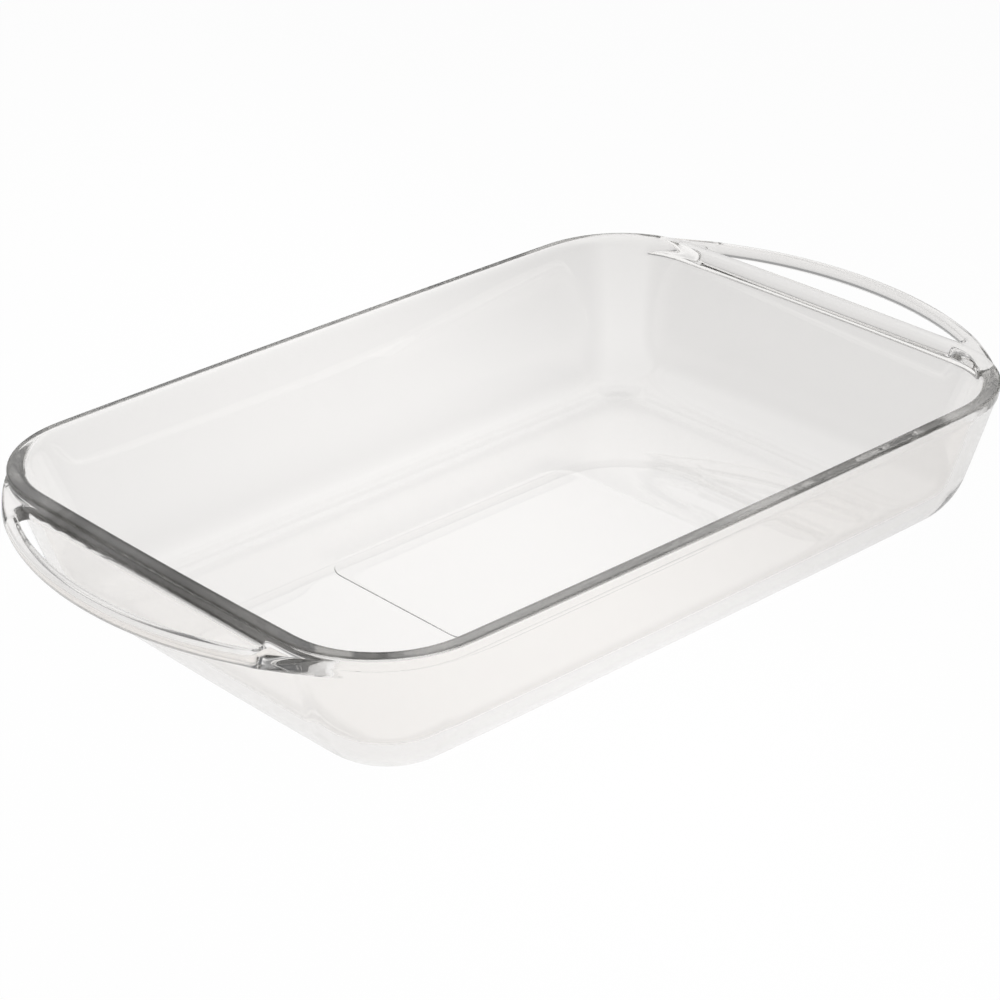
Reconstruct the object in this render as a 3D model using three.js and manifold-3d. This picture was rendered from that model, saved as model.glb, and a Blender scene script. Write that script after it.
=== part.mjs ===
// A clear pressed-glass baking dish with a loop handle at each end.
// Millimetres, +Z up. The origin is the middle of the underside.
// +X runs along the length to the right handle, and +Y to the back wall.
// The dish is one moulding. Its moulded regions are separate solids that meet face to face.
import * as THREE from 'three';
import { mergeVertices } from 'three/addons/utils/BufferGeometryUtils.js';
import Module from 'manifold-3d';

const wasm = await Module();
wasm.setup();

// Driving dimensions: the rim in plan.
const rimLength = 292; // over the rim, without the handles
const rimWidth = 204;
const cornerRadius = 38;
const longSideBow = 1.3; // how far the middle of a long side stands out past its ends
const shortSideBow = 1.8;

// Driving dimensions: the upright section.
const dishHeight = 52.3;
const wallDraft = 16.8; // degrees from upright
const wallThickness = 5.8;
const floorThickness = 5;
const floorCornerRadius = 4; // corner of the flat floor, in plan
const floorSideBow = 0.2;
const heelRadius = 27; // outside, where the wall turns into the floor
const innerHeelRadius = 24;
const rimDepth = 4.6; // from the underside of the bead to its top
const rimOuterRadius = 1; // rounding of the bead's outer top edge
const rimInnerRadius = 3; // rounding of its inner top edge
const rimUnderRadius = 1.2; // rounding of its lower edge
const rimLean = 9; // degrees from upright, the bead's outer side
const rimOverhang = 0.9; // how far the bead stands out past the wall under it

// Driving dimensions: the marking panel, a shallow recess under the floor.
const panelLength = 106;
const panelWidth = 72;
const panelCornerRadius = 9;
const panelRecess = 0.2;

// Driving dimensions: the handles.
const handleReach = 23.8; // from the end of the rim to the outside of the handle
const handleInset = 4.5; // how far the handle's outline starts inside the rim's long side
const handleThickness = 5.2;
const handleDrop = 1.4; // from the top of the rim down to the top of the handle
const barWidth = 4.6; // the bar that the fingers close on
const rootWidth = 2.6; // strip of the handle between the rim and the finger opening
const gripEndWidth = 3.5; // width of the finger opening at its two ends
const handleFlat = 1.6; // flat left between the rounded edges of the bar
const handleSeam = 0.3; // clearance between a handle and the dish

// Steps in the curves.
const longSteps = 6;
const shortSteps = 4;
const cornerSteps = 9;
const heelSteps = 7;
const crownSteps = 4;
const lipSteps = 2;
const panelCornerSteps = 5;
const handleSteps = 32;
const gripSteps = 20;
const roundSteps = 3;

const glass = { color: 0xeef0ee, roughness: 0.04, metalness: 0, transparent: true, opacity: 0.35 };

const halfLength = rimLength / 2;
const halfWidth = rimWidth / 2;
const draft = THREE.MathUtils.degToRad(wallDraft);
const lean = THREE.MathUtils.degToRad(rimLean);
const bandTop = dishHeight - rimOuterRadius;
const rimUnder = dishHeight - rimDepth;

// The point where two circles meet, on the left hand of the line from the first centre to the second.
function circlesMeet(first, firstRadius, second, secondRadius) {
  const apart = first.distanceTo(second);
  const along = (apart ** 2 + firstRadius ** 2 - secondRadius ** 2) / (2 * apart);
  const aside = Math.sqrt(firstRadius ** 2 - along ** 2);
  const unit = second.clone().sub(first).divideScalar(apart);
  return new THREE.Vector2(
    first.x + unit.x * along - unit.y * aside,
    first.y + unit.y * along + unit.x * aside,
  );
}

// Radius of an arc that rises by bow over half of its chord.
function bowedRadius(halfChord, bow) {
  return (halfChord ** 2 + bow ** 2) / (2 * bow);
}

const quarter = Math.PI / 2;
const half = Math.PI;
const full = 2 * Math.PI;

// Names and steps of the outline's arcs, anticlockwise from the middle of +X.
const regions = [
  { name: 'wall_right', steps: shortSteps },
  { name: 'corner_back_right', steps: cornerSteps },
  { name: 'wall_back', steps: longSteps },
  { name: 'corner_back_left', steps: cornerSteps },
  { name: 'wall_left', steps: shortSteps },
  { name: 'corner_front_left', steps: cornerSteps },
  { name: 'wall_front', steps: longSteps },
  { name: 'corner_front_right', steps: cornerSteps },
];

// Offsets of the wall's two faces from the rim's outer edge, at a height.
function outerOffset(height) {
  return -rimOverhang - (rimUnder - height) * Math.tan(draft);
}

function innerOffset(height) {
  return outerOffset(height) - wallThickness / Math.cos(draft);
}

// A heel is an arc from a level floor up to the wall's face, as points from the floor upwards.
function heelArc(faceOffset, radius, floorHeight) {
  const touchHeight = floorHeight + radius * (1 - Math.sin(draft));
  const centreOffset = faceOffset(touchHeight) - radius * Math.cos(draft);
  const centreHeight = floorHeight + radius;
  const points = [];
  for (let step = 0; step <= heelSteps; step += 1) {
    const angle = THREE.MathUtils.lerp(-quarter, -draft, step / heelSteps);
    const offset = centreOffset + radius * Math.cos(angle);
    points.push({ offset, height: centreHeight + radius * Math.sin(angle) });
  }
  return points;
}

const outerHeel = heelArc(outerOffset, heelRadius, 0);
const innerHeel = heelArc(innerOffset, innerHeelRadius, floorThickness);
const heelSide = { offset: Math.min(outerHeel[0].offset, innerHeel[0].offset), height: 0 };
const floorSide = { offset: heelSide.offset, height: floorThickness };
const outerTop = { offset: outerOffset(rimUnder), height: rimUnder };
const innerTop = { offset: innerOffset(rimUnder), height: rimUnder };

// An outline at an offset from the rim's outer edge is eight arcs that run into each other.
// Its sides straighten and its corners tighten evenly from the rim in to the edge of the flat floor.
function outlineArcs(offset) {
  const share = offset / heelSide.offset;
  const endX = halfLength + offset;
  const endY = halfWidth + offset;
  const long = bowedRadius(endX, THREE.MathUtils.lerp(longSideBow, floorSideBow, share));
  const short = bowedRadius(endY, THREE.MathUtils.lerp(shortSideBow, floorSideBow, share));
  const radius = THREE.MathUtils.lerp(cornerRadius, floorCornerRadius, share);
  const longCentre = new THREE.Vector2(0, endY - long);
  const shortCentre = new THREE.Vector2(endX - short, 0);
  const { x, y } = circlesMeet(shortCentre, short - radius, longCentre, long - radius);
  const from = Math.atan2(y, x - shortCentre.x);
  const to = Math.atan2(y - longCentre.y, x);
  return [
    { x: shortCentre.x, y: 0, radius: short, from: -from, to: from },
    { x, y, radius, from, to },
    { x: 0, y: longCentre.y, radius: long, from: to, to: half - to },
    { x: -x, y, radius, from: half - to, to: half - from },
    { x: -shortCentre.x, y: 0, radius: short, from: half - from, to: half + from },
    { x: -x, y: -y, radius, from: half + from, to: half + to },
    { x: 0, y: -longCentre.y, radius: long, from: half + to, to: full - to },
    { x, y: -y, radius, from: full - to, to: full - from },
  ];
}

// The points of an outline.
function outline(offset) {
  const points = [];
  outlineArcs(offset).forEach((arc, index) => {
    const { steps } = regions[index];
    for (let step = 0; step < steps; step += 1) {
      const angle = THREE.MathUtils.lerp(arc.from, arc.to, step / steps);
      const x = arc.x + arc.radius * Math.cos(angle);
      const y = arc.y + arc.radius * Math.sin(angle);
      points.push(new THREE.Vector2(x, y));
    }
  });
  return points;
}

// Section of a wall with its heel: the outer face and the inner face, each from the floor up.
const wallOuter = [heelSide, ...outerHeel, outerTop];
const wallInner = [floorSide, ...innerHeel, innerTop];

// The bead's rounded lower edge, from the wall to the foot of its leaning side.
function rimLip() {
  const reach = rimOverhang + (rimUnder + rimUnderRadius - bandTop) * Math.tan(lean);
  const points = [];
  for (let step = 1; step <= lipSteps; step += 1) {
    const angle = (quarter * step) / lipSteps;
    const offset = reach * Math.sin(angle) - rimOverhang;
    points.push({ offset, height: rimUnder + rimUnderRadius * (1 - Math.cos(angle)) });
  }
  return points;
}

// Section of the bead, anticlockwise from the wall's outer edge: the inside carries on the wall's own slope.
function rimSection() {
  const touch = dishHeight - rimInnerRadius * (1 - Math.sin(draft));
  const middle = innerOffset(touch) + rimInnerRadius * Math.cos(draft);
  const points = [outerTop, ...rimLip()];
  for (let step = 0; step <= crownSteps; step += 1) {
    const angle = (quarter * step) / crownSteps;
    const offset = rimOuterRadius * (Math.cos(angle) - 1);
    points.push({ offset, height: bandTop + rimOuterRadius * Math.sin(angle) });
  }
  for (let step = 0; step <= crownSteps; step += 1) {
    const angle = THREE.MathUtils.lerp(quarter, half - draft, step / crownSteps);
    const offset = middle + rimInnerRadius * Math.cos(angle);
    points.push({ offset, height: dishHeight - rimInnerRadius * (1 - Math.sin(angle)) });
  }
  points.push(innerTop);
  return points;
}

// Collects flat quads and triangles of one solid.
class Faces {
  constructor() {
    this.positions = [];
  }

  triangle(a, b, c) {
    for (const point of [a, b, c]) {
      this.positions.push(point.x, point.y, point.z);
    }
  }

  quad(a, b, c, d) {
    this.triangle(a, b, c);
    this.triangle(a, c, d);
  }

  geometry() {
    const geometry = new THREE.BufferGeometry();
    geometry.setAttribute('position', new THREE.Float32BufferAttribute(this.positions, 3));
    return geometry;
  }
}

// Each point of a section, carried round the dish.
function sectionRings(section) {
  return section.map(({ offset, height }) => {
    const level = outline(offset);
    return level.map(({ x, y }) => new THREE.Vector3(x, y, height));
  });
}

// Faces between a closed section's rings, for a run of steps round the dish.
function addSkin(faces, rings, start, steps) {
  const around = rings[0].length;
  for (let step = start; step < start + steps; step += 1) {
    const here = step % around;
    const next = (step + 1) % around;
    rings.forEach((ring, index) => {
      const above = rings[(index + 1) % rings.length];
      faces.quad(ring[here], ring[next], above[next], above[here]);
    });
  }
}

// One wall or corner: the wall's section along one arc of the outline, closed at both ends.
function wallGeometry(start, steps) {
  const outer = sectionRings(wallOuter);
  const inner = sectionRings(wallInner);
  const faces = new Faces();
  addSkin(faces, [...outer, ...inner.slice().reverse()], start, steps);
  const end = (start + steps) % outer[0].length;
  for (let level = 0; level + 1 < outer.length; level += 1) {
    const up = level + 1;
    faces.quad(outer[level][start], outer[up][start], inner[up][start], inner[level][start]);
    faces.quad(outer[level][end], inner[level][end], inner[up][end], outer[up][end]);
  }
  return faces.geometry();
}

function rimGeometry() {
  const rings = sectionRings(rimSection());
  const faces = new Faces();
  addSkin(faces, rings, 0, rings[0].length);
  return faces.geometry();
}

// A rounded rectangle about the origin.
function roundedRectangle(length, width, radius) {
  const points = [];
  for (let turn = 0; turn < 4; turn += 1) {
    const centreX = (turn === 0 || turn === 3 ? 1 : -1) * (length / 2 - radius);
    const centreY = (turn < 2 ? 1 : -1) * (width / 2 - radius);
    for (let step = 0; step <= panelCornerSteps; step += 1) {
      const angle = (turn + step / panelCornerSteps) * quarter;
      points.push(new THREE.Vector2(centreX + radius * Math.cos(angle), centreY + radius * Math.sin(angle)));
    }
  }
  return points;
}

const panelOutline = roundedRectangle(panelLength, panelWidth, panelCornerRadius);

function floorGeometry() {
  const shape = new THREE.Shape(outline(heelSide.offset));
  shape.holes.push(new THREE.Path(panelOutline));
  return new THREE.ExtrudeGeometry(shape, { depth: floorThickness, bevelEnabled: false });
}

function panelGeometry() {
  const depth = floorThickness - panelRecess;
  const geometry = new THREE.ExtrudeGeometry(new THREE.Shape(panelOutline), { depth, bevelEnabled: false });
  return geometry.translate(0, 0, panelRecess);
}

// Half an ellipse past the corner centres, drawn in from the handle's outer edge.
const rimCorner = outlineArcs(0)[1];
function handleCurve(inset, angle) {
  const reach = halfLength + handleReach - rimCorner.x - inset;
  const spread = rimCorner.y + rimCorner.radius - handleInset - inset;
  return new THREE.Vector2(rimCorner.x + reach * Math.cos(angle), spread * Math.sin(angle));
}

// The handle in plan. Its straight back lies inside the dish and is cut away.
function handleShape() {
  const points = [];
  for (let step = 0; step <= handleSteps; step += 1) {
    points.push(handleCurve(0, (step / handleSteps - 0.5) * Math.PI));
  }
  const shape = new THREE.Shape(points);
  const chord = halfLength + rootWidth;
  const gripReach = handleCurve(barWidth, 0).x - rimCorner.x;
  const gripEnd = Math.acos((chord + gripEndWidth - rimCorner.x) / gripReach);
  const grip = [];
  for (let step = 0; step <= gripSteps; step += 1) {
    grip.push(handleCurve(barWidth, gripEnd * ((2 * step) / gripSteps - 1)));
  }
  const { y } = grip[gripSteps];
  grip.push(new THREE.Vector2(chord, y), new THREE.Vector2(chord, -y));
  shape.holes.push(new THREE.Path(grip));
  return shape;
}

function solid(geometry) {
  const bare = geometry.clone();
  bare.deleteAttribute('normal');
  bare.deleteAttribute('uv');
  const merged = mergeVertices(bare);
  const vertProperties = new Float32Array(merged.attributes.position.array);
  const triVerts = new Uint32Array(merged.index.array);
  return new wasm.Manifold(new wasm.Mesh({ numProp: 3, vertProperties, triVerts }));
}

function geometryOf(manifold) {
  const mesh = manifold.getMesh();
  const geometry = new THREE.BufferGeometry();
  geometry.setAttribute('position', new THREE.BufferAttribute(mesh.vertProperties, 3));
  geometry.setIndex(new THREE.BufferAttribute(mesh.triVerts, 1));
  return geometry;
}

const handleTop = dishHeight - handleDrop;
const handleBottom = handleTop - handleThickness;
const handleRound = (Math.min(handleThickness, barWidth) - handleFlat) / 2;

// The filled outside of the dish beside the handles, grown by their clearance.
function dishEnvelope() {
  const lowest = handleBottom - handleThickness;
  const highest = dishHeight + handleThickness;
  const section = [
    { offset: outerOffset(lowest), height: lowest },
    outerTop,
    ...rimLip(),
    { offset: 0, height: bandTop },
    { offset: 0, height: highest },
  ].map(({ offset, height }) => ({ offset: offset + handleSeam, height }));
  const rings = sectionRings(section);
  const faces = new Faces();
  const foot = new THREE.Vector3(0, 0, lowest);
  const head = new THREE.Vector3(0, 0, highest);
  const first = rings[0];
  const last = rings[rings.length - 1];
  first.forEach((point, index) => {
    const next = (index + 1) % first.length;
    faces.triangle(foot, first[next], point);
    faces.triangle(head, last[index], last[next]);
    for (let level = 0; level + 1 < rings.length; level += 1) {
      const ring = rings[level];
      const above = rings[level + 1];
      faces.quad(ring[index], ring[next], above[next], above[index]);
    }
  });
  return solid(faces.geometry());
}

function handleGeometry() {
  const plate = new THREE.ExtrudeGeometry(handleShape(), {
    depth: handleThickness - 2 * handleRound,
    bevelThickness: handleRound,
    bevelSize: handleRound,
    bevelOffset: -handleRound,
    bevelSegments: roundSteps,
  });
  plate.translate(0, 0, handleBottom + handleRound);
  return geometryOf(solid(plate).subtract(dishEnvelope()));
}

const dish = new THREE.Group();

function addPiece(name, geometry) {
  const mesh = new THREE.Mesh(geometry, new THREE.MeshStandardMaterial(glass));
  mesh.name = name;
  dish.add(mesh);
  return mesh;
}

addPiece('floor', floorGeometry());
addPiece('marking_panel', panelGeometry());

let start = 0;
for (const { name, steps } of regions) {
  addPiece(name, wallGeometry(start, steps));
  start += steps;
}

addPiece('rim_bead', rimGeometry());
addPiece('handle_right', handleGeometry());
addPiece('handle_left', handleGeometry()).rotation.z = Math.PI;

export default dish;
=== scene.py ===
import math

import bmesh
import bpy
from mathutils import Matrix, Vector


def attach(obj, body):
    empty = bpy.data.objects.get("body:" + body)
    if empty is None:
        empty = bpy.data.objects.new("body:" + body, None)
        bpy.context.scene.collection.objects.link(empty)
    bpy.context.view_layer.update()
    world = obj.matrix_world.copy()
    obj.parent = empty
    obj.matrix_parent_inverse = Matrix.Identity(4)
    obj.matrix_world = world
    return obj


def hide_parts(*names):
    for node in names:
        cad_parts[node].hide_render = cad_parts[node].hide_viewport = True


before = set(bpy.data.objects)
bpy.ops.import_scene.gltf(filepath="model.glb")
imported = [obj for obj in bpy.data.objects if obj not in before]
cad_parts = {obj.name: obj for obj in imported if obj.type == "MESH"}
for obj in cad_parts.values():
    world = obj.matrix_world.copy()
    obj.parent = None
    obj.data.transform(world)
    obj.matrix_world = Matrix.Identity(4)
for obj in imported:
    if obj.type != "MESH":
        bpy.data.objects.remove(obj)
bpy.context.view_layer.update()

bl_info = {
    "name": "Glass Baking Dish",
    "version": (1, 0, 0),
    "blender": (4, 5, 0),
    "location": "View3D > Sidebar > Dish",
    "description": "A clear pressed-glass baking dish with a loop handle at each end",
    "category": "Add Mesh",
}

IMAGE_WIDTH = 1000
SENSOR_MILLIMETRES = 36.0
NEAR_CLIP = 0.01
HALF_TURN = math.pi
FULL_TURN = 2 * math.pi
RIGHT, LEFT = 1, -1
WHITE = (1.0, 1.0, 1.0)
WAVE_DETAIL = 2.0

# Light runs a long way inside the rim before it leaves the glass.
LIGHT_BOUNCES = 100

# Steps in the curves of the control cage, before it is subdivided.
LONG_STEPS = 14
GRIP_STEPS = 12
WEB_STEPS = 5
CORNER_STEPS = 8
HEEL_STEPS = 8
CROWN_STEPS = 4
LIP_STEPS = 2
SMOOTH_LEVELS = 2

# Arcs of the outline that each handle starts on, lies along and ends on.
HANDLE_ARCS = {RIGHT: (7, 0, 1), LEFT: (3, 4, 5)}
# Halvings in the search for the place where a handle leaves the rim.
HALVINGS = 60
# Rows beside the ends of a finger opening, in radii of its edges.
END_GUARD = 2.5
# How far the flat faces step past those ends, in radii of its edges.
END_SHIFT = 0.7
# The most of a handle's width that its outer rounding takes.
EDGE_SHARE = 0.3
# The highest that a handle's root climbs, from its top to the top of the rim's side.
ROOT_SHARE = 0.7
# Points across a handle on each side of its outer edge, and those beside the opening.
FLAT_ROWS = 6
ROOT_ROW, BAR_ROW = 2, 3

# Painted shade: the paper's colour is darker to both sides of its middle, in place of light that
# falls off there. Places across it.
PAPER_ACROSS = (1.0, -0.4, 0.0)
PAPER_LEFT, PAPER_MIDDLE, PAPER_RIGHT = 0.1, 0.5, 0.8
# The surround as the glass shows it, by height: dark low down and white above.
SURROUND_RISE = (-0.1, -0.12, 1.0)
SURROUND = ((0.12, (0.3, 0.303, 0.308)), (0.3, WHITE))
# Cards that dim the surround, from the left of the picture to its right.
SIDE_CARDS = ((0.1, (0.3, 0.3, 0.3)), (0.2, WHITE), (0.62, WHITE), (0.8, (0.15, 0.155, 0.165)))


def size(label, text, default):
    """A length that a user may change, in metres."""
    return bpy.props.FloatProperty(
        name=label, description=text, default=default, unit="LENGTH", precision=4
    )


def angle(label, text, degrees):
    return bpy.props.FloatProperty(
        name=label, description=text, default=math.radians(degrees), subtype="ANGLE"
    )


def amount(label, text, default, low=0.0, high=10.0):
    return bpy.props.FloatProperty(
        name=label, description=text, default=default, min=low, max=high
    )


def place(label, text, default):
    return bpy.props.FloatVectorProperty(
        name=label, description=text, default=default, size=3, subtype="TRANSLATION", unit="LENGTH"
    )


def colour(label, text, default):
    return bpy.props.FloatVectorProperty(
        name=label, description=text, default=default, size=3, subtype="COLOR", min=0, max=1
    )


class DishSizes(bpy.types.PropertyGroup):
    """The body of the dish: rim, walls and floor."""

    rim_length: size("Rim length", "Over the rim, without the handles", 0.292)
    rim_width: size("Rim width", "Over the rim", 0.204)
    corner_radius: size("Corner radius", "Outer edge of the rim, in plan", 0.038)
    long_side_bow: size("Long side bow", "How far a long side stands out at its middle", 0.0013)
    short_side_bow: size("Short side bow", "How far a short side stands out at its middle", 0.0018)
    floor_side_bow: size("Floor side bow", "What is left of the bow at the floor", 0.0002)
    floor_corner_radius: size("Floor corner radius", "Corner of the flat floor", 0.004)
    height: size("Height", "From the table to the top of the rim", 0.0523)
    wall_draft: angle("Wall draft", "Lean of the walls from upright", 16.8)
    wall_thickness: size("Wall thickness", "Square to the wall", 0.0058)
    floor_thickness: size("Floor thickness", "Thickness of the flat floor", 0.005)
    heel_radius: size("Heel radius", "Outside, where a wall meets the floor", 0.027)
    inner_heel_radius: size("Inner heel radius", "Inside, where a wall meets the floor", 0.024)
    rim_depth: size("Rim depth", "From the underside of the rim to its top", 0.0046)
    rim_outer_radius: size("Rim outer radius", "Rounding of the rim's outer top edge", 0.0010)
    rim_inner_radius: size("Rim inner radius", "Rounding of the rim's inner top edge", 0.0030)
    rim_under_radius: size("Rim under radius", "Rounding of the rim's lower edge", 0.0012)
    rim_lean: angle("Rim lean", "Lean of the rim's outer side from upright", 9.0)
    overhang: size("Overhang", "How far the rim stands out past the wall", 0.0009)
    panel_length: size("Panel length", "Marking panel under the floor", 0.106)
    panel_width: size("Panel width", "Marking panel under the floor", 0.072)
    panel_radius: size("Panel corner radius", "Marking panel under the floor", 0.009)
    panel_groove: size("Panel groove", "Fine groove round the panel, past its recess", 0.0002)
    panel_run_out: size("Panel run-out", "Where the groove has sunk back into the floor", 0.010)
    panel_recess: size("Panel recess", "Depth of the marking panel", 0.0001)


class HandleSizes(bpy.types.PropertyGroup):
    """The two loop handles."""

    reach: size("Reach", "From the end of the rim to the outside of the handle", 0.0238)
    inset: size("Inset", "How far its outline starts inside the rim's long side", 0.0045)
    thickness: size("Thickness", "Of the handle, upright", 0.0052)
    drop: size("Drop", "From the top of the rim to the top of the handle", 0.0014)
    bar_width: size("Bar width", "The bar that the fingers close on", 0.0046)
    root_width: size("Root width", "Between the rim and the finger opening", 0.0026)
    grip_end_width: size("Grip end width", "Width of the finger opening at its ends", 0.0028)
    edge_radius: size("Edge radius", "Rounding of the bar's outer edges", 0.0016)
    grip_radius: size("Grip radius", "Rounding of the opening's edges", 0.0010)
    grip_draft: angle("Grip draft", "How the opening's walls lean apart, downwards", 12.0)
    fillet: size("Fillet", "Hollow where the handle leaves the rim", 0.0008)


class GlassLook(bpy.types.PropertyGroup):
    """The finish of the glass."""

    tint: colour("Tint", "Colour of light after a long way in the glass", (0.904, 0.903, 0.9))
    face_tint: colour("Face tint", "Colour that each face gives the light", (0.985, 0.971, 0.957))
    depth: amount("Depth", "How fast the glass takes light, per metre", 26.0, 0.0, 1000.0)
    ior: amount("Index of refraction", "How strongly the glass bends light", 1.48, 1.0, 2.0)
    roughness: amount("Roughness", "Blur of the polished faces", 0.01, 0.0, 1.0)
    wave_size: size("Wave size", "Spacing of the faint waves that pressing leaves", 0.05)
    wave_depth: size("Wave depth", "Depth of the faint waves", 0.00001)
    shade: amount("Shade", "Share of light that passes each face into the shadow", 0.97, 0.0, 1.0)


class StageLook(bpy.types.PropertyGroup):
    """Floor, light and camera."""

    floor_half: size("Floor half", "From the middle of the paper floor to its edge", 0.7)
    floor_gap: size("Floor gap", "Between the dish and the paper", 0.0003)
    floor_colour: colour("Floor colour", "Plain pale floor", (0.95, 0.95, 0.95))
    # Painted shade: the paper's colour at the left and the right is darker, over the half width
    # below, in place of light that falls off to the sides.
    left_painted_shade: colour("Left colour", "The dimmer paper at the left", (0.78, 0.78, 0.78))
    right_painted_shade: colour("Right colour", "The dimmer paper at the right", (0.74, 0.74, 0.74))
    falloff: size("Falloff", "Half the width over which the paper grows dim", 0.25)
    floor_glow: amount("Floor glow", "Plain white in the floor as it is seen", 0.96, 0.0, 1.0)
    glass_glow: amount("Glass glow", "Plain white in the floor through glass", 0.4, 0.0, 1.0)
    sky_level: amount("Sky level", "Soft light from all round", 0.02)
    lamp_power: amount("Lamp power", "Large soft lamp overhead, in watts", 8.6, 0.0, 1000.0)
    lamp_place: place("Lamp place", "Middle of the lamp", (-0.07, 0.02, 0.8))
    lamp_length: size("Lamp length", "Along the dish", 0.8)
    lamp_width: size("Lamp width", "Across the dish", 0.6)
    azimuth: angle("Azimuth", "Camera's turn about the dish", -41.211)
    elevation: angle("Elevation", "Camera's height above the table", 26.855)
    roll: angle("Roll", "Camera's tilt to the side", -1.585)
    distance: size("Distance", "From the camera to its target", 0.99649)
    target_right: size("Target right", "Target, to the right of the dish's middle", -0.003306)
    target_up: size("Target up", "Target, above the dish's middle", 0.017427)
    focal_pixels: amount("Focal length", "In pixels of the picture", 3019.9, 1.0, 20000.0)
    centre_right: amount("Centre right", "Optical centre, in pixels", 6.2, -500.0, 500.0)
    centre_down: amount("Centre down", "Optical centre, in pixels", 6.2, -500.0, 500.0)


# The outline of the dish in plan


def lerp(low, high, share):
    return low + (high - low) * share


def bowed_radius(half_chord, bow):
    """Radius of an arc that rises by bow over half of its chord."""
    return (half_chord ** 2 + bow ** 2) / (2 * bow)


def circles_meet(first, first_radius, second, second_radius):
    """Where two circles meet, on the left of the line from the first centre to the second."""
    line = (second[0] - first[0], second[1] - first[1])
    apart = math.hypot(*line)
    along = (apart ** 2 + first_radius ** 2 - second_radius ** 2) / (2 * apart)
    aside = math.sqrt(first_radius ** 2 - along ** 2)
    x = first[0] + (line[0] * along - line[1] * aside) / apart
    y = first[1] + (line[1] * along + line[0] * aside) / apart
    return x, y


class DishShape:
    """The dish's outline and section, worked out from its sizes."""

    def __init__(self, sizes, grip):
        self.sizes = sizes
        self.grip = grip
        self.band_top = sizes.height - sizes.rim_outer_radius
        self.rim_under = sizes.height - sizes.rim_depth
        self.outer_heel = self.heel(self.outer, sizes.heel_radius, 0.0)
        self.inner_heel = self.heel(self.inner, sizes.inner_heel_radius, sizes.floor_thickness)
        self.floor_edge = min(self.outer_heel[0][0], self.inner_heel[0][0])
        self.handle_top = sizes.height - grip.drop
        self.handle_bottom = self.handle_top - grip.thickness
        rim = self.arcs(0.0)
        self.corner_x, self.corner_y, self.corner_radius = rim[1][:3]
        self.short_radius = rim[0][2]
        self.spread = self.corner_y + self.corner_radius - grip.inset
        self.reach = sizes.rim_length / 2 + grip.reach - self.corner_x
        self.chord = sizes.rim_length / 2 + grip.root_width
        self.grip_end = self.find_grip_end()
        self.stations = self.make_stations(rim)

    def outer(self, height):
        """Offset of the wall's outer face from the rim's edge."""
        lean = math.tan(self.sizes.wall_draft)
        return -self.sizes.overhang - (self.rim_under - height) * lean

    def inner(self, height):
        return self.outer(height) - self.sizes.wall_thickness / math.cos(self.sizes.wall_draft)

    def heel(self, face, radius, floor_height):
        """Offsets and heights from the level floor up to the wall's face."""
        draft = self.sizes.wall_draft
        touch = floor_height + radius * (1 - math.sin(draft))
        centre = face(touch) - radius * math.cos(draft)
        points = []
        for step in range(HEEL_STEPS + 1):
            turn = lerp(-HALF_TURN / 2, -draft, step / HEEL_STEPS)
            offset = centre + radius * math.cos(turn)
            points.append((offset, floor_height + radius * (1 + math.sin(turn))))
        return points

    def band(self, height):
        """Offset of the rim's outer side."""
        return (height - self.band_top) * math.tan(self.sizes.rim_lean)

    def lip(self):
        """The rounded lower edge of the rim, from the wall to the rim's side."""
        radius = self.sizes.rim_under_radius
        reach = self.sizes.overhang + self.band(self.rim_under + radius)
        points = []
        for step in range(LIP_STEPS + 1):
            turn = HALF_TURN / 2 * step / LIP_STEPS
            offset = -self.sizes.overhang + reach * math.sin(turn)
            points.append((offset, self.rim_under + radius * (1 - math.cos(turn))))
        return points

    def crown(self):
        """The top of the rim, from its outer edge to its inner edge."""
        top, draft = self.sizes.height, self.sizes.wall_draft
        outer, inner = self.sizes.rim_outer_radius, self.sizes.rim_inner_radius
        touch = top - inner * (1 - math.sin(draft))
        middle = self.inner(touch) + inner * math.cos(draft)
        points = []
        for step in range(CROWN_STEPS + 1):
            turn = HALF_TURN / 2 * step / CROWN_STEPS
            points.append((outer * (math.cos(turn) - 1), self.band_top + outer * math.sin(turn)))
        for step in range(CROWN_STEPS + 1):
            turn = lerp(HALF_TURN / 2, HALF_TURN - draft, step / CROWN_STEPS)
            points.append((middle + inner * math.cos(turn), top - inner * (1 - math.sin(turn))))
        return points

    def arcs(self, offset):
        """The outline's eight arcs at an offset from the rim's edge: x, y, radius, from, to."""
        sizes = self.sizes
        share = min(offset / self.floor_edge, 1.0)
        end_x = sizes.rim_length / 2 + offset
        end_y = sizes.rim_width / 2 + offset
        long = bowed_radius(end_x, lerp(sizes.long_side_bow, sizes.floor_side_bow, share))
        short = bowed_radius(end_y, lerp(sizes.short_side_bow, sizes.floor_side_bow, share))
        radius = lerp(sizes.corner_radius, sizes.floor_corner_radius, share)
        long_y = end_y - long
        short_x = end_x - short
        x, y = circles_meet((short_x, 0), short - radius, (0, long_y), long - radius)
        start = math.atan2(y, x - short_x)
        stop = math.atan2(y - long_y, x)
        return [
            (short_x, 0, short, -start, start),
            (x, y, radius, start, stop),
            (0, long_y, long, stop, HALF_TURN - stop),
            (-x, y, radius, HALF_TURN - stop, HALF_TURN - start),
            (-short_x, 0, short, HALF_TURN - start, HALF_TURN + start),
            (-x, -y, radius, HALF_TURN + start, HALF_TURN + stop),
            (0, -long_y, long, HALF_TURN + stop, FULL_TURN - stop),
            (x, -y, radius, FULL_TURN - stop, FULL_TURN - start),
        ]

    def find_grip_end(self):
        """Half the length of the finger opening."""
        reach = self.reach - self.grip.bar_width
        spread = self.spread - self.grip.bar_width
        across = (self.chord + self.grip.grip_end_width - self.corner_x) / reach
        return spread * math.sqrt(1 - across ** 2)

    def handle_x(self, y, inset=0.0):
        """How far out the handle's edge is, at a place along the end of the dish."""
        along = abs(y) / (self.spread - inset)
        return self.corner_x + (self.reach - inset) * math.sqrt(max(0.0, 1 - along ** 2))

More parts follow.
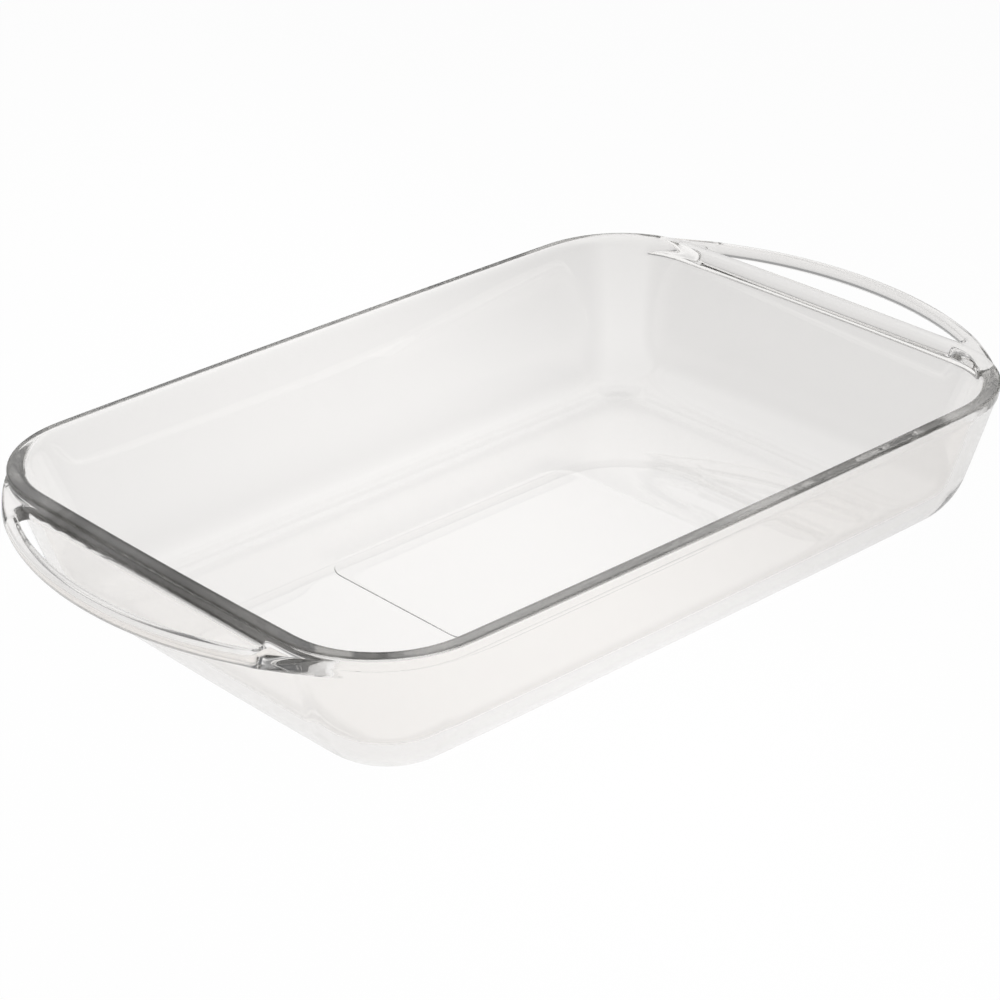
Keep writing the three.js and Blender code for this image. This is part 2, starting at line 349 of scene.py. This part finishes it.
    def web_end(self, start, stop):
        """Share of a corner's arc at which the handle's outline leaves the rim."""
        low, high = 0.0, 1.0
        for _ in range(HALVINGS):
            share = (low + high) / 2
            turn = lerp(start, stop, share)
            x = self.corner_radius * math.cos(turn) / self.reach
            y = (self.corner_y + self.corner_radius * math.sin(turn)) / self.spread
            if x ** 2 + y ** 2 < 1:
                low = share
            else:
                high = share
        return low

    def make_stations(self, rim):
        """Places round the outline: the arc, the share of it, and what is there."""
        turn = rim[0][4]
        guard = self.grip.grip_radius * END_GUARD
        marks = [(-self.grip_end - guard, ""), (-self.grip_end, "grip")]
        for step in range(GRIP_STEPS + 1):
            marks.append(((self.grip_end - guard) * (2 * step / GRIP_STEPS - 1), ""))
        marks += [(self.grip_end, "grip"), (self.grip_end + guard, "")]
        end = [(0.0, "")]
        for y, mark in marks:
            end.append((0.5 + math.asin(y / self.short_radius) / (2 * turn), mark))
        split = self.web_end(rim[1][3], rim[1][4])
        corner = [(split * step / WEB_STEPS, "") for step in range(WEB_STEPS)]
        corner.append((split, "web"))
        for step in range(1, CORNER_STEPS):
            corner.append((lerp(split, 1, step / CORNER_STEPS), ""))
        back = [(0.0, "")] + [(1 - share, mark) for share, mark in reversed(corner) if share > 0]
        long = [(step / LONG_STEPS, "") for step in range(LONG_STEPS)]
        stations = []
        for arc, run in enumerate((end, corner, long, back) * 2):
            stations += [(arc, share, mark) for share, mark in run]
        return stations

    def ring(self, offset, height):
        """The outline at an offset, as points at a height."""
        arcs = self.arcs(offset)
        points = []
        for arc, share, _ in self.stations:
            x, y, radius, start, stop = arcs[arc]
            turn = lerp(start, stop, share)
            points.append((x + radius * math.cos(turn), y + radius * math.sin(turn), height))
        return points

    def panel_ring(self, inset, height):
        """The outline of the marking panel, with as many points as the dish's outline."""
        radius = self.sizes.panel_radius - inset
        mid_x = self.sizes.panel_length / 2 - self.sizes.panel_radius
        mid_y = self.sizes.panel_width / 2 - self.sizes.panel_radius
        corners = [(mid_x, -mid_y), (mid_x, mid_y), (-mid_x, mid_y), (-mid_x, -mid_y)]
        points = []
        for arc, share, _ in self.stations:
            quarter = arc // 2
            turn = quarter * HALF_TURN / 2
            here, there = corners[quarter], corners[(quarter + 1) % 4]
            if arc % 2:
                here, turn = there, turn + share * HALF_TURN / 2
            x, y = lerp(here[0], there[0], share), lerp(here[1], there[1], share)
            points.append((x + radius * math.cos(turn), y + radius * math.sin(turn), height))
        return points

    def places(self, mark, arc):
        """Stations of an arc that carry a mark."""
        return [i for i, station in enumerate(self.stations) if station[::2] == (arc, mark)]


class Cage:
    """Points and faces of the control cage."""

    def __init__(self):
        self.points = []
        self.faces = []

    def add(self, point):
        self.points.append(point)
        return len(self.points) - 1

    def ring(self, points):
        return [self.add(point) for point in points]

    def face(self, *corners):
        """A face. Where rows run together it is left with three corners, or is left out."""
        loop = [c for i, c in enumerate(corners) if c != corners[i - 1]]
        if len(loop) > 2:
            self.faces.append(loop)

    def strip(self, lower, upper, left_open=()):
        """Faces between two closed rows of points."""
        for i in range(len(lower)):
            j = (i + 1) % len(lower)
            if i not in left_open:
                self.face(lower[i], lower[j], upper[j], upper[i])

    def ribbon(self, here, there, left_open=()):
        """Faces between two open rows of points."""
        for k in range(len(here) - 1):
            if k not in left_open:
                self.face(here[k], there[k], there[k + 1], here[k + 1])

    def mesh(self, name):
        mesh = bpy.data.meshes.new(name)
        mesh.from_pydata(self.points, [], self.faces)
        work = bmesh.new()
        work.from_mesh(mesh)
        spare = [point for point in work.verts if not point.link_faces]
        bmesh.ops.delete(work, geom=spare, context="VERTS")
        bmesh.ops.recalc_face_normals(work, faces=work.faces)
        for face in work.faces:
            face.smooth = True
        work.to_mesh(mesh)
        work.free()
        return mesh


class HandleCage:
    """One handle: a web that grows out of the rim, with a finger opening."""

    def __init__(self, cage, shape, roots, side):
        self.cage, self.shape, self.side = cage, shape, side
        self.grip = shape.grip
        self.under, *self.rim_side, self.top = roots
        from_corner, along_end, to_corner = HANDLE_ARCS[side]
        self.first = shape.places("web", from_corner)[0]
        self.last = shape.places("web", to_corner)[0]
        self.ends = shape.places("grip", along_end)
        around = len(shape.stations)
        count = (self.last - self.first) % around + 1
        self.run = [(self.first + step) % around for step in range(count)]
        start, stop = [self.run.index(end) for end in self.ends]
        self.opening = self.run[start:stop + 1]
        self.wall_upper = shape.handle_top - self.grip.grip_radius
        self.wall_lower = shape.handle_bottom + self.grip.grip_radius
        self.draft = (self.wall_upper - self.wall_lower) * math.tan(self.grip.grip_draft)
        self.measure_end()
        self.columns = {i: self.column(i) for i in self.run}
        self.walls = {i: self.opening_walls(i) for i in self.opening}

    def measure_end(self):
        """Shares of the handle's width at which its rows lie, past the ends of the opening."""
        shape, grip = self.shape, self.grip
        rim = self.side * self.cage.points[self.top[self.ends[0]]][0]
        width = shape.handle_x(shape.grip_end) - rim
        root = shape.chord - grip.grip_radius - rim
        bar = shape.handle_x(shape.grip_end, grip.bar_width) + grip.grip_radius - rim
        self.root_share, self.bar_share = root / width, bar / width
        self.fillet_share = grip.fillet / root

    def add(self, x, y, z):
        return self.cage.add((self.side * x, y, z))

    def column(self, i):
        """Points round the handle at a station, from the rim over the outer edge and back."""
        if i in (self.first, self.last):
            edge = [row[i] for row in reversed(self.rim_side)]
            return [self.top[i]] * FLAT_ROWS + edge + [self.under[i]] * FLAT_ROWS
        shape, grip = self.shape, self.grip
        high, low = shape.handle_top, shape.handle_bottom
        x, y, _ = self.cage.points[self.top[i]]
        rim_x, edge_x = self.side * x, shape.handle_x(y)
        round_off = min(grip.edge_radius, EDGE_SHARE * (edge_x - rim_x))
        root_x = lerp(rim_x, edge_x, self.root_share)
        bar_x = lerp(rim_x, edge_x, self.bar_share)
        if i in self.opening:
            root_x = shape.chord - grip.grip_radius
            bar_x = shape.handle_x(y, grip.bar_width) + grip.grip_radius
        shift = math.copysign(END_SHIFT * grip.grip_radius, y) if i in self.ends else 0.0
        inner = (lerp(rim_x, root_x, self.fillet_share), y)
        outer = (edge_x - round_off, y)
        upper = [inner, (root_x, y + shift), (bar_x, y + shift), outer]
        lower = [inner, (root_x - self.draft, y + shift), (bar_x + self.draft, y + shift), outer]
        above = [self.add(*point, high) for point in upper]
        below = [self.add(*point, low) for point in lower]
        cut = round_off * (1 - math.sin(HALF_TURN / 4))
        above.append(self.add(edge_x - cut, y, high - cut))
        below.append(self.add(edge_x - cut, y, low + cut))
        steps = len(self.rim_side) - 1
        heights = [
            lerp(high - grip.edge_radius, low + grip.edge_radius, step / steps)
            for step in range(steps + 1)
        ]
        edge = [self.add(edge_x, y, height) for height in heights]
        return [self.top[i], *above, *edge, *reversed(below), self.under[i]]

    def opening_walls(self, i):
        """Points of the opening's walls at a station: the dish's side and the bar's side."""
        y = self.cage.points[self.top[i]][1]
        root_x = self.shape.chord
        bar_x = self.shape.handle_x(y, self.grip.bar_width)
        high, low = self.wall_upper, self.wall_lower
        root = [self.add(root_x, y, high), self.add(root_x - self.draft, y, low)]
        bar = [self.add(bar_x, y, high), self.add(bar_x + self.draft, y, low)]
        return root, bar

    def wall_rows(self, i):
        """Those walls with the points above and below them."""
        column = self.columns[i]
        root, bar = self.walls[i]
        return (
            [column[ROOT_ROW], *root, column[-1 - ROOT_ROW]],
            [column[BAR_ROW], *bar, column[-1 - BAR_ROW]],
        )

    def build(self):
        """Add the faces. Returns the stations of the rim that the handle takes up."""
        gaps = (ROOT_ROW, len(self.columns[self.first]) - 1 - BAR_ROW)
        for i, j in zip(self.run, self.run[1:]):
            is_open = i in self.opening and j in self.opening
            self.cage.ribbon(self.columns[i], self.columns[j], gaps if is_open else ())
            if is_open:
                for here, there in zip(self.wall_rows(i), self.wall_rows(j)):
                    self.cage.ribbon(here, there)
        for i in self.ends:
            self.cage.ribbon(*self.wall_rows(i))
        return self.run[:-1]


def panel_section(sizes):
    """Insets and heights across the panel's edge: a fine groove that runs out into the floor."""
    step, recess, run_out = sizes.panel_groove, sizes.panel_recess, sizes.panel_run_out
    groove = recess + step
    return [
        (4 * step, recess), (step / 2, recess),
        (-step / 2, groove), (-2 * step, groove),
        (-run_out, 0.0), (-2 * run_out, 0.0),
    ]


def root_section(shape):
    """Offsets and heights up the rim's outer side, which the handles grow out of."""
    bottom = shape.handle_bottom - shape.grip.fillet
    highest = lerp(shape.handle_top, shape.band_top, ROOT_SHARE)
    top = min(shape.handle_top + shape.grip.fillet, highest)
    return [(shape.outer(bottom), bottom), *shape.lip(), (shape.band(top), top)]


def dish_cage(shape):
    """The whole moulding as one closed cage: floor, walls, rim and handles."""
    sizes = shape.sizes
    flat = sizes.floor_thickness
    root = root_section(shape)
    middle = (shape.handle_bottom + shape.outer_heel[-1][1]) / 2
    outside = [(shape.floor_edge - flat, 0.0), *shape.outer_heel]
    outside += [(shape.outer(z), z) for z in (middle, root[0][1] - sizes.overhang)]
    inner_top = (shape.inner_heel[-1][1] + shape.rim_under) / 2
    inside = [(shape.inner(z), z) for z in (shape.rim_under, inner_top)]
    inside += [*reversed(shape.inner_heel), (shape.floor_edge - flat, flat)]
    cage = Cage()
    below = [cage.ring(shape.panel_ring(*row)) for row in panel_section(sizes)]
    below += [cage.ring(shape.ring(*row)) for row in outside]
    roots = [cage.ring(shape.ring(*row)) for row in root]
    above = [cage.ring(shape.ring(*row)) for row in (*shape.crown(), *inside)]
    taken = []
    for side in (RIGHT, LEFT):
        taken += HandleCage(cage, shape, roots, side).build()
    rows = below + roots + above
    for index, (lower, upper) in enumerate(zip(rows, rows[1:])):
        on_root = len(below) <= index < len(below) + len(roots) - 1
        cage.strip(lower, upper, taken if on_root else ())
    cage.faces.append(list(reversed(rows[0])))
    cage.faces.append(list(rows[-1]))
    return cage


# Materials


def new_material(name):
    material = bpy.data.materials.new(name)
    material.use_nodes = True
    tree = material.node_tree
    tree.nodes.clear()
    return material, tree.nodes, tree.links


def add_ramp(nodes, stops, interpolation="LINEAR"):
    """A colour ramp with a stop for each place and tone."""
    ramp = nodes.new("ShaderNodeValToRGB")
    ramp.color_ramp.interpolation = interpolation
    held = ramp.color_ramp.elements
    held.remove(held[1])
    held[0].position, held[0].color = stops[0][0], (*stops[0][1], 1.0)
    for position, tone in stops[1:]:
        held.new(position).color = (*tone, 1.0)
    return ramp


def add_dot(nodes, links, source, direction):
    """How far a place or a direction lies along another direction."""
    dot = nodes.new("ShaderNodeVectorMath")
    dot.operation = "DOT_PRODUCT"
    dot.inputs[1].default_value = direction
    links.new(source, dot.inputs[0])
    return dot.outputs["Value"]


def add_span(nodes, links, source, half):
    """A value between minus half and half, brought to between 0 and 1."""
    span = nodes.new("ShaderNodeMapRange")
    span.inputs["From Min"].default_value = -half
    span.inputs["From Max"].default_value = half
    links.new(source, span.inputs["Value"])
    return span.outputs["Result"]


def add_glass_rays(nodes, links, path):
    """1 for a ray that glass has mirrored or let through, else 0."""
    rays = nodes.new("ShaderNodeMath")
    rays.operation = "MAXIMUM"
    links.new(path.outputs["Is Glossy Ray"], rays.inputs[0])
    links.new(path.outputs["Is Transmission Ray"], rays.inputs[1])
    return rays.outputs["Value"]


def clear_glass(look):
    """Polished pressed glass with faint waves. It lets light through into its shadow."""
    material, nodes, links = new_material("clear_pressed_glass")
    coords = nodes.new("ShaderNodeTexCoord")
    waves = nodes.new("ShaderNodeTexNoise")
    waves.inputs["Scale"].default_value = 1 / look.wave_size
    waves.inputs["Detail"].default_value = WAVE_DETAIL
    bump = nodes.new("ShaderNodeBump")
    bump.inputs["Strength"].default_value = 1.0
    bump.inputs["Distance"].default_value = look.wave_depth
    glass = nodes.new("ShaderNodeBsdfPrincipled")
    glass.inputs["Base Color"].default_value = (*look.face_tint, 1.0)
    glass.inputs["Roughness"].default_value = look.roughness
    glass.inputs["IOR"].default_value = look.ior
    glass.inputs["Transmission Weight"].default_value = 1.0
    passing = nodes.new("ShaderNodeBsdfTransparent")
    passing.inputs["Color"].default_value = (look.shade, look.shade, look.shade, 1.0)
    body = nodes.new("ShaderNodeVolumeAbsorption")
    body.inputs["Color"].default_value = (*look.tint, 1.0)
    body.inputs["Density"].default_value = look.depth
    path = nodes.new("ShaderNodeLightPath")
    mix = nodes.new("ShaderNodeMixShader")
    output = nodes.new("ShaderNodeOutputMaterial")
    links.new(coords.outputs["Object"], waves.inputs["Vector"])
    links.new(waves.outputs["Fac"], bump.inputs["Height"])
    links.new(bump.outputs["Normal"], glass.inputs["Normal"])
    links.new(path.outputs["Is Shadow Ray"], mix.inputs["Fac"])
    links.new(glass.outputs["BSDF"], mix.inputs[1])
    links.new(passing.outputs["BSDF"], mix.inputs[2])
    links.new(mix.outputs["Shader"], output.inputs["Surface"])
    links.new(body.outputs["Volume"], output.inputs["Volume"])
    return material


def floor_paper(look):
    """White paper that takes the dish's shadow, with painted shade that darkens its colour to both
    sides of its middle.
    """
    material, nodes, links = new_material("white_paper")
    coords = nodes.new("ShaderNodeTexCoord")
    across = add_dot(nodes, links, coords.outputs["Object"], PAPER_ACROSS)
    # Painted shade: the ramp darkens the paper's colour to both sides of its middle, as if less
    # light fell there.
    tones = (look.left_painted_shade, look.floor_colour, look.right_painted_shade)
    stops = list(zip((PAPER_LEFT, PAPER_MIDDLE, PAPER_RIGHT), tones))
    ramp = add_ramp(nodes, stops, "EASE")
    links.new(add_span(nodes, links, across, look.falloff), ramp.inputs["Fac"])
    paper = nodes.new("ShaderNodeBsdfDiffuse")
    links.new(ramp.outputs["Color"], paper.inputs["Color"])
    glow = nodes.new("ShaderNodeEmission")
    glow.inputs["Color"].default_value = (*WHITE, 1.0)
    path = nodes.new("ShaderNodeLightPath")
    through = nodes.new("ShaderNodeMath")
    through.operation = "MULTIPLY"
    through.inputs[1].default_value = look.glass_glow
    share = nodes.new("ShaderNodeMath")
    share.operation = "MULTIPLY_ADD"
    share.inputs[1].default_value = look.floor_glow
    mix = nodes.new("ShaderNodeMixShader")
    output = nodes.new("ShaderNodeOutputMaterial")
    links.new(add_glass_rays(nodes, links, path), through.inputs[0])
    links.new(path.outputs["Is Camera Ray"], share.inputs[0])
    links.new(through.outputs["Value"], share.inputs[2])
    links.new(share.outputs["Value"], mix.inputs["Fac"])
    links.new(paper.outputs["BSDF"], mix.inputs[1])
    links.new(glow.outputs["Emission"], mix.inputs[2])
    links.new(mix.outputs["Shader"], output.inputs["Surface"])
    return material


# Operators


def settings():
    return bpy.context.scene.dish


class DISH_OT_moulding(bpy.types.Operator):
    """Make the dish: floor, walls, rim and both handles as one glass moulding"""

    bl_idname = "dish.moulding"
    bl_label = "Dish"

    def execute(self, context):
        held = settings()
        shape = DishShape(held.body, held.handles)
        mesh = dish_cage(shape).mesh("dish")
        dish = bpy.data.objects.new("dish", mesh)
        context.scene.collection.objects.link(dish)
        smooth = dish.modifiers.new("smooth", "SUBSURF")
        smooth.levels = SMOOTH_LEVELS
        smooth.render_levels = SMOOTH_LEVELS
        mesh.materials.append(clear_glass(held.glass))
        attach(dish, "root")
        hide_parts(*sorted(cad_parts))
        return {"FINISHED"}


class DISH_OT_stage(bpy.types.Operator):
    """Make the floor, the light and the camera"""

    bl_idname = "dish.stage"
    bl_label = "Stage"

    def execute(self, context):
        look = settings().stage
        self.make_floor(context, look)
        self.make_sky(context, look)
        self.make_lamp(context, look)
        self.make_camera(context, look)
        context.scene.view_settings.view_transform = "Standard"
        context.scene.cycles.max_bounces = LIGHT_BOUNCES
        context.scene.cycles.transmission_bounces = LIGHT_BOUNCES
        context.scene.cycles.glossy_bounces = LIGHT_BOUNCES
        context.scene.cycles.caustics_reflective = False
        context.scene.cycles.caustics_refractive = False
        return {"FINISHED"}

    def make_floor(self, context, look):
        half, level = look.floor_half, -look.floor_gap
        mesh = bpy.data.meshes.new("floor_paper")
        corners = [(-half, -half), (half, -half), (half, half), (-half, half)]
        mesh.from_pydata([(x, y, level) for x, y in corners], [], [(0, 1, 2, 3)])
        floor = bpy.data.objects.new("floor_paper", mesh)
        context.scene.collection.objects.link(floor)
        mesh.materials.append(floor_paper(look))

    def make_sky(self, context, look):
        """White behind the dish, a darker surround in its glass, and a little soft light."""
        world = bpy.data.worlds.new("studio")
        context.scene.world = world
        world.use_nodes = True
        nodes, links = world.node_tree.nodes, world.node_tree.links
        nodes.clear()
        plain = nodes.new("ShaderNodeBackground")
        plain.inputs["Color"].default_value = (*WHITE, 1.0)
        soft = nodes.new("ShaderNodeBackground")
        soft.inputs["Color"].default_value = (*WHITE, 1.0)
        soft.inputs["Strength"].default_value = look.sky_level
        seen = nodes.new("ShaderNodeBackground")
        ray = nodes.new("ShaderNodeTexCoord").outputs["Generated"]
        surround = add_ramp(nodes, SURROUND)
        links.new(add_dot(nodes, links, ray, SURROUND_RISE), surround.inputs["Fac"])
        right = (math.cos(look.azimuth), math.sin(look.azimuth), 0.0)
        aside = add_dot(nodes, links, ray, right)
        cards = add_ramp(nodes, SIDE_CARDS)
        links.new(add_span(nodes, links, aside, 1.0), cards.inputs["Fac"])
        dimmed = nodes.new("ShaderNodeVectorMath")
        dimmed.operation = "MULTIPLY"
        links.new(surround.outputs["Color"], dimmed.inputs[0])
        links.new(cards.outputs["Color"], dimmed.inputs[1])
        links.new(dimmed.outputs["Vector"], seen.inputs["Color"])
        path = nodes.new("ShaderNodeLightPath")
        inside = nodes.new("ShaderNodeMixShader")
        links.new(add_glass_rays(nodes, links, path), inside.inputs["Fac"])
        links.new(soft.outputs["Background"], inside.inputs[1])
        links.new(seen.outputs["Background"], inside.inputs[2])
        mix = nodes.new("ShaderNodeMixShader")
        output = nodes.new("ShaderNodeOutputWorld")
        links.new(path.outputs["Is Camera Ray"], mix.inputs["Fac"])
        links.new(inside.outputs["Shader"], mix.inputs[1])
        links.new(plain.outputs["Background"], mix.inputs[2])
        links.new(mix.outputs["Shader"], output.inputs["Surface"])

    def make_lamp(self, context, look):
        """A soft lamp overhead that the glass does not mirror."""
        light = bpy.data.lights.new("softbox", "AREA")
        light.shape = "RECTANGLE"
        light.size = look.lamp_length
        light.size_y = look.lamp_width
        light.energy = look.lamp_power
        light.cycles.use_multiple_importance_sampling = False
        lamp = bpy.data.objects.new("softbox", light)
        lamp.location = look.lamp_place
        lamp.visible_glossy = False
        lamp.visible_transmission = False
        context.scene.collection.objects.link(lamp)

    def make_camera(self, context, look):
        lens = bpy.data.cameras.new("camera")
        lens.sensor_width = SENSOR_MILLIMETRES
        lens.sensor_fit = "HORIZONTAL"
        lens.lens = look.focal_pixels / IMAGE_WIDTH * lens.sensor_width
        lens.shift_x = -look.centre_right / IMAGE_WIDTH
        lens.shift_y = look.centre_down / IMAGE_WIDTH
        lens.clip_start = NEAR_CLIP
        camera = bpy.data.objects.new("camera", lens)
        turn, rise = look.azimuth, look.elevation
        level = math.cos(rise)
        back = Vector((math.sin(turn) * level, -math.cos(turn) * level, math.sin(rise)))
        right = Vector((math.cos(turn), math.sin(turn), 0.0))
        up = back.cross(right)
        spot = right * look.target_right + up * look.target_up + back * look.distance
        tilted_right = right * math.cos(look.roll) + up * math.sin(look.roll)
        tilted_up = up * math.cos(look.roll) - right * math.sin(look.roll)
        pose = Matrix((tilted_right, tilted_up, back)).transposed().to_4x4()
        pose.translation = spot
        camera.matrix_world = pose
        context.scene.collection.objects.link(camera)
        context.scene.camera = camera


class DishSettings(bpy.types.PropertyGroup):
    """All that a user may change."""

    body: bpy.props.PointerProperty(type=DishSizes, name="Dish")
    handles: bpy.props.PointerProperty(type=HandleSizes, name="Handles")
    glass: bpy.props.PointerProperty(type=GlassLook, name="Glass")
    stage: bpy.props.PointerProperty(type=StageLook, name="Stage")


class DISH_PT_panel(bpy.types.Panel):
    """Sizes, looks and the steps that make the dish"""

    bl_idname = "DISH_PT_panel"
    bl_label = "Glass Baking Dish"
    bl_space_type = "VIEW_3D"
    bl_region_type = "UI"
    bl_category = "Dish"

    def draw(self, context):
        held = settings()
        for operator in OPERATORS:
            self.layout.operator(operator.bl_idname)
        for group in (held.body, held.handles, held.glass, held.stage):
            box = self.layout.box()
            for name in group.__annotations__:
                box.prop(group, name)


OPERATORS = (DISH_OT_moulding, DISH_OT_stage)
CLASSES = (DishSizes, HandleSizes, GlassLook, StageLook, DishSettings, *OPERATORS, DISH_PT_panel)


def register():
    for each in CLASSES:
        bpy.utils.register_class(each)
    bpy.types.Scene.dish = bpy.props.PointerProperty(type=DishSettings)


def unregister():
    del bpy.types.Scene.dish
    for each in reversed(CLASSES):
        bpy.utils.unregister_class(each)


def main():
    register()
    bpy.ops.dish.moulding()
    bpy.ops.dish.stage()


if __name__ == "__main__":
    main()
